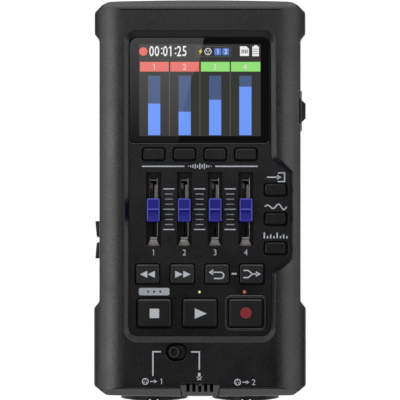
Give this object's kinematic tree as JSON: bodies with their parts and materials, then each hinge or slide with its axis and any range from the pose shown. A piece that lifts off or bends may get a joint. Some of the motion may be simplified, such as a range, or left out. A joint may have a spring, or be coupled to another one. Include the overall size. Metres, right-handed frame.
{
  "type": "multitrack recorder",
  "caption": "Handheld multitrack recorder: display above a recessed panel of keys and slide faders, combination input jacks at one end, battery bay behind.",
  "frame": {"origin": "middle of the footprint, in the plane that the rubber feet stand on", "axes": "+Z out of the control face, +Y towards the display end, +X to the right as the face is read"},
  "size_m": [0.0852, 0.162, 0.0447],
  "materials": {
    "shell": "fine moulded grain, satin",
    "panel": "fine grain, matt black",
    "lens": "clear, polished",
    "display": "black mask with a lit picture",
    "foam": "closed-cell foam",
    "board": "solder mask over glass fibre",
    "black_plastic": "moulded, satin",
    "rail_steel": "stamped, bare",
    "switch_steel": "stamped, bare",
    "light_pipe": "clear, lit from below",
    "jack_plastic": "glass-filled, satin black",
    "contact": "nickel plate",
    "cell_can": null,
    "rubber_foot": "matt",
    "screw": "black oxide",
    "insert_brass": "turned",
    "key": "soft-touch, satin",
    "fader_blue": "moulded, satin"
  },
  "bodies": {
    "case": {"front_shell": "shell", "back_shell": "shell", "control_panel": "panel", "display_lens": "lens", "lcd_module": "display", "lcd_support": "foam", "main_board": "board", "jack_board": "board", "switch_board": "board", "fader_housings": "black_plastic", "fader_rails": "rail_steel", "key_switches": "switch_steel", "status_lights": "light_pipe", "selector_switch": "black_plastic", "mic_grille": "shell", "mic_capsule": "switch_steel", "jack_housing_a": "jack_plastic", "jack_housing_b": "jack_plastic", "jack_insert_a": "jack_plastic", "jack_insert_b": "jack_plastic", "jack_pins": "contact", "phone_jack": "jack_plastic", "line_jack": "jack_plastic", "usb_port": "switch_steel", "card_socket": "switch_steel", "power_bezel": "black_plastic", "power_switch": "black_plastic", "battery_cells": "cell_can", "battery_contacts": "contact", "rubber_feet": "rubber_foot", "case_screws": "screw", "tripod_insert": "insert_brass"},
    "fader_1": {"fader_cap_1": "fader_blue", "fader_lever_1": "black_plastic"},
    "fader_2": {"fader_cap_2": "fader_blue", "fader_lever_2": "black_plastic"},
    "fader_3": {"fader_cap_3": "fader_blue", "fader_lever_3": "black_plastic"},
    "fader_4": {"fader_cap_4": "fader_blue", "fader_lever_4": "black_plastic"},
    "track_button_1": {"track_button_1": "key"},
    "track_button_2": {"track_button_2": "key"},
    "track_button_3": {"track_button_3": "key"},
    "track_button_4": {"track_button_4": "key"},
    "input_button": {"input_button": "key"},
    "effect_button": {"effect_button": "key"},
    "rhythm_button": {"rhythm_button": "key"},
    "rewind_button": {"rewind_button": "key"},
    "forward_button": {"forward_button": "key"},
    "undo_button": {"undo_button": "key"},
    "bounce_button": {"bounce_button": "key"},
    "stop_button": {"stop_button": "key"},
    "play_button": {"play_button": "key"},
    "record_button": {"record_button": "key"},
    "volume_up_button": {"volume_up_button": "key"},
    "volume_down_button": {"volume_down_button": "key"},
    "input_selector": {"input_selector": "black_plastic"},
    "power_slider": {"power_slider": "black_plastic"},
    "battery_door": {"battery_door": "shell"},
    "card_cover": {"card_cover": "shell"}
  },
  "joints": [
    {"name": "fader_1_slide", "type": "slide", "parent": "case", "child": "fader_1", "axis": [0, 1, 0], "range_m": [-0.0096, 0.0104]},
    {"name": "fader_2_slide", "type": "slide", "parent": "case", "child": "fader_2", "axis": [0, 1, 0], "range_m": [-0.0096, 0.0104]},
    {"name": "fader_3_slide", "type": "slide", "parent": "case", "child": "fader_3", "axis": [0, 1, 0], "range_m": [-0.0096, 0.0104]},
    {"name": "fader_4_slide", "type": "slide", "parent": "case", "child": "fader_4", "axis": [0, 1, 0], "range_m": [-0.0096, 0.0104]},
    {"name": "track_press_1", "type": "slide", "parent": "case", "child": "track_button_1", "axis": [0, 0, -1], "range_m": [0, 0.0008], "stiffness_N_per_m": 300},
    {"name": "track_press_2", "type": "slide", "parent": "case", "child": "track_button_2", "axis": [0, 0, -1], "range_m": [0, 0.0008], "stiffness_N_per_m": 300},
    {"name": "track_press_3", "type": "slide", "parent": "case", "child": "track_button_3", "axis": [0, 0, -1], "range_m": [0, 0.0008], "stiffness_N_per_m": 300},
    {"name": "track_press_4", "type": "slide", "parent": "case", "child": "track_button_4", "axis": [0, 0, -1], "range_m": [0, 0.0008], "stiffness_N_per_m": 300},
    {"name": "input_press", "type": "slide", "parent": "case", "child": "input_button", "axis": [0, 0, -1], "range_m": [0, 0.0008], "stiffness_N_per_m": 300},
    {"name": "effect_press", "type": "slide", "parent": "case", "child": "effect_button", "axis": [0, 0, -1], "range_m": [0, 0.0008], "stiffness_N_per_m": 300},
    {"name": "rhythm_press", "type": "slide", "parent": "case", "child": "rhythm_button", "axis": [0, 0, -1], "range_m": [0, 0.0008], "stiffness_N_per_m": 300},
    {"name": "rewind_press", "type": "slide", "parent": "case", "child": "rewind_button", "axis": [0, 0, -1], "range_m": [0, 0.0008], "stiffness_N_per_m": 300},
    {"name": "forward_press", "type": "slide", "parent": "case", "child": "forward_button", "axis": [0, 0, -1], "range_m": [0, 0.0008], "stiffness_N_per_m": 300},
    {"name": "undo_press", "type": "slide", "parent": "case", "child": "undo_button", "axis": [0, 0, -1], "range_m": [0, 0.0008], "stiffness_N_per_m": 300},
    {"name": "bounce_press", "type": "slide", "parent": "case", "child": "bounce_button", "axis": [0, 0, -1], "range_m": [0, 0.0008], "stiffness_N_per_m": 300},
    {"name": "stop_press", "type": "slide", "parent": "case", "child": "stop_button", "axis": [0, 0, -1], "range_m": [0, 0.0008], "stiffness_N_per_m": 300},
    {"name": "play_press", "type": "slide", "parent": "case", "child": "play_button", "axis": [0, 0, -1], "range_m": [0, 0.0008], "stiffness_N_per_m": 300},
    {"name": "record_press", "type": "slide", "parent": "case", "child": "record_button", "axis": [0, 0, -1], "range_m": [0, 0.0008], "stiffness_N_per_m": 300},
    {"name": "volume_up_press", "type": "slide", "parent": "case", "child": "volume_up_button", "axis": [1, 0, 0], "range_m": [0, 0.0008], "stiffness_N_per_m": 300},
    {"name": "volume_down_press", "type": "slide", "parent": "case", "child": "volume_down_button", "axis": [1, 0, 0], "range_m": [0, 0.0008], "stiffness_N_per_m": 300},
    {"name": "input_selector_slide", "type": "slide", "parent": "case", "child": "input_selector", "axis": [1, 0, 0], "range_m": [0, 0.002]},
    {"name": "power_slide", "type": "slide", "parent": "case", "child": "power_slider", "axis": [0, 1, 0], "range_m": [-0.003, 0.003]},
    {"name": "battery_door_hinge", "type": "hinge", "parent": "case", "child": "battery_door", "pos_m": [0, -0.0502, 0.0036], "axis": [-1, 0, 0], "range_deg": [0, 90]},
    {"name": "card_cover_hinge", "type": "hinge", "parent": "case", "child": "card_cover", "pos_m": [0.03955, -0.02, 0.0244], "axis": [0, 1, 0], "range_deg": [0, 90]}
  ]
}
